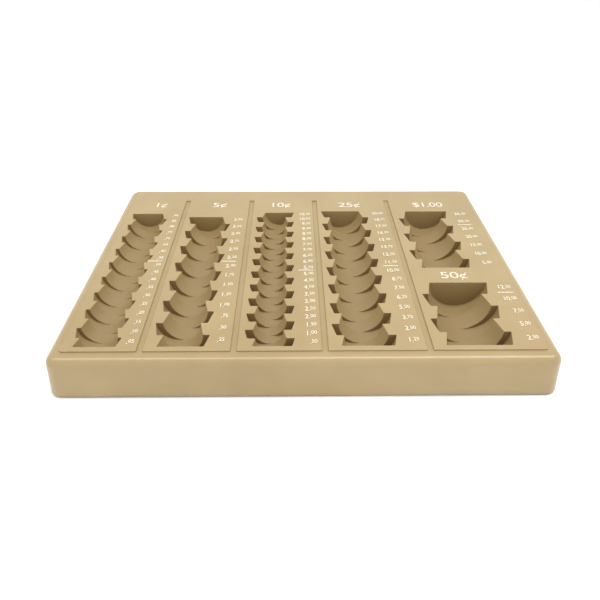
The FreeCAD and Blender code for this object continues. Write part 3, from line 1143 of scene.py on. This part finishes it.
@dataclass
class RubberFoot:
    """Pressed rubber foot with a rounded rim and a shallow dimple, as high as its solid."""

    node: str
    finish: bpy.types.Material
    radius: float = 6.0
    rim: float = 0.6
    bend: float = 0.29
    dimple: float = 0.35
    dimple_share: float = 0.45
    slope_share: float = 0.55
    sides: int = 40

    def build(self) -> None:
        """Spin the foot's profile and place it on its boss."""
        low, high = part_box(self.node)
        # From the middle of the dimple outward, round the rim at half a right angle, and back in
        profile = [
            (0, self.dimple), (self.radius * self.dimple_share, self.dimple),
            (self.radius * self.slope_share, 0), (self.radius - self.rim, 0),
            (self.radius - self.rim * self.bend, self.rim * self.bend), (self.radius, self.rim),
            (self.radius, (high.z - low.z) / MM), (0, (high.z - low.z) / MM),
        ]
        foot = bmesh.new()
        verts = [foot.verts.new(Vector((x, 0, z)) * MM) for x, z in profile]
        for first, second in zip(verts, verts[1:]):
            foot.edges.new((first, second))
        bmesh.ops.spin(
            foot, geom=foot.verts[:] + foot.edges[:], cent=Vector(), axis=Vector((0, 0, 1)),
            angle=math.tau, steps=self.sides, use_merge=True,
        )
        bmesh.ops.remove_doubles(foot, verts=foot.verts, dist=WELD)
        middle = (low + high) / 2
        bmesh.ops.translate(foot, vec=Vector((middle.x, middle.y, low.z)), verts=foot.verts)
        place_piece("rubber_" + self.node, to_mesh(foot, "foot"), self.finish, [self.node])


@dataclass(frozen=True)
class Softbox:
    """Rectangular light that faces the tray. Metres, and watts of radiant power."""

    name: str
    place: tuple[float, float, float]
    size: tuple[float, float]
    power: float

    def build(self) -> None:
        """Hang the light and turn it to the origin."""
        light = bpy.data.lights.new(self.name, "AREA")
        light.shape = "RECTANGLE"
        light.size, light.size_y = self.size
        light.energy = self.power
        softbox = add_object(self.name, light)
        softbox.location = self.place
        softbox.rotation_euler = (-Vector(self.place)).to_track_quat("-Z", "Y").to_euler()


@dataclass
class Studio:
    """Pale floor, two softboxes above and a weak one in front, a white room and the camera.

    The camera's place is in millimetres and its angles are in degrees; the floor and the lights
    are in metres.
    """

    focal_length: float = 34.03
    sensor_width: float = 36.0
    nearest: float = 0.01
    camera_place: tuple[float, float, float] = (-5.73, -289.14, 196.25)
    pitch: float = 35.543
    yaw: float = 0.922
    roll: float = 0.305
    softboxes: tuple[Softbox, ...] = (
        Softbox("softbox_left", (-0.42, 0.0, 1.0), (0.12, 0.8), 3.4),
        Softbox("softbox_right", (0.36, 0.0, 1.0), (0.26, 0.8), 5.0),
        Softbox("softbox_front", (0.0, -1.4, 0.9), (2.4, 1.0), 0.5),
    )
    room_colour: str = "ffffff"
    wall_light: float = 0.96
    wall_height: float = 0.1
    ceiling_light: float = 0.6
    ceiling_height: float = 0.95
    floor_colour: str = "fdfdfc"
    floor_roughness: float = 0.9
    floor_glow: float = 0.02
    floor_reach: float = 3.0

    def build(self) -> None:
        """Set up the whole studio."""
        self.add_floor()
        self.add_surroundings()
        for softbox in self.softboxes:
            softbox.build()
        self.add_camera()
        bpy.context.scene.view_settings.view_transform = "Standard"
        bpy.context.scene.view_settings.look = "Medium High Contrast"

    def add_floor(self) -> None:
        """Plain pale floor, which glows a little so that it stays as white as the room."""
        material, _, shader = new_material("matt_white_floor")
        shader.inputs["Base Color"].default_value = linear(self.floor_colour)
        shader.inputs["Emission Color"].default_value = linear(self.room_colour)
        shader.inputs["Emission Strength"].default_value = self.floor_glow
        shader.inputs["Roughness"].default_value = self.floor_roughness
        plane = bmesh.new()
        bmesh.ops.create_grid(plane, x_segments=1, y_segments=1, size=self.floor_reach)
        mesh = bpy.data.meshes.new("floor")
        plane.to_mesh(mesh)
        plane.free()
        mesh.materials.append(material)
        add_object("floor", mesh)

    def add_surroundings(self) -> None:
        """White room, with walls brighter than the ceiling."""
        world = bpy.data.worlds.new("white_room")
        world.use_nodes = True
        tree = world.node_tree
        background = tree.nodes["Background"]
        background.inputs["Color"].default_value = linear(self.room_colour)
        place = add_node(tree, "ShaderNodeTexCoord").outputs["Generated"]
        height = add_node(tree, "ShaderNodeSeparateXYZ", {"Vector": place}).outputs["Z"]
        strength = add_node(tree, "ShaderNodeMapRange", {
            "Value": height, "From Min": self.wall_height, "From Max": self.ceiling_height,
            "To Min": self.wall_light, "To Max": self.ceiling_light,
        })
        tree.links.new(strength.outputs["Result"], background.inputs["Strength"])
        bpy.context.scene.world = world

    def add_camera(self) -> None:
        """Camera where the photograph was taken from."""
        pitch, yaw, roll = (math.radians(angle) for angle in (self.pitch, self.yaw, self.roll))
        ahead = Vector((math.sin(yaw) * math.cos(pitch), math.cos(yaw) * math.cos(pitch), -math.sin(pitch)))
        level = Vector((math.cos(yaw), -math.sin(yaw), 0.0))
        right = level * math.cos(roll) + level.cross(ahead) * math.sin(roll)
        up = right.cross(ahead)
        turn = Matrix((right, up, -ahead)).transposed().to_4x4()
        data = bpy.data.cameras.new("camera")
        data.sensor_width = self.sensor_width
        data.lens = self.focal_length
        data.clip_start = self.nearest
        camera = add_object("camera", data)
        camera.matrix_world = Matrix.Translation(Vector(self.camera_place) * MM) @ turn
        bpy.context.scene.camera = camera


def main() -> None:
    """Dress the tray and set up the studio."""
    logging.basicConfig(level=logging.INFO, format="%(message)s")
    TrayMoulding(MouldedPolystyrene()).build()
    foil = HotStampFoil().material()
    for trough in TROUGHS:
        Markings(trough, foil).build()
    rubber = NitrileRubber().material()
    for name in sorted(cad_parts):
        if name.startswith("foot_"):
            RubberFoot(name, rubber).build()
    Studio().build()


if __name__ == "__main__":
    main()
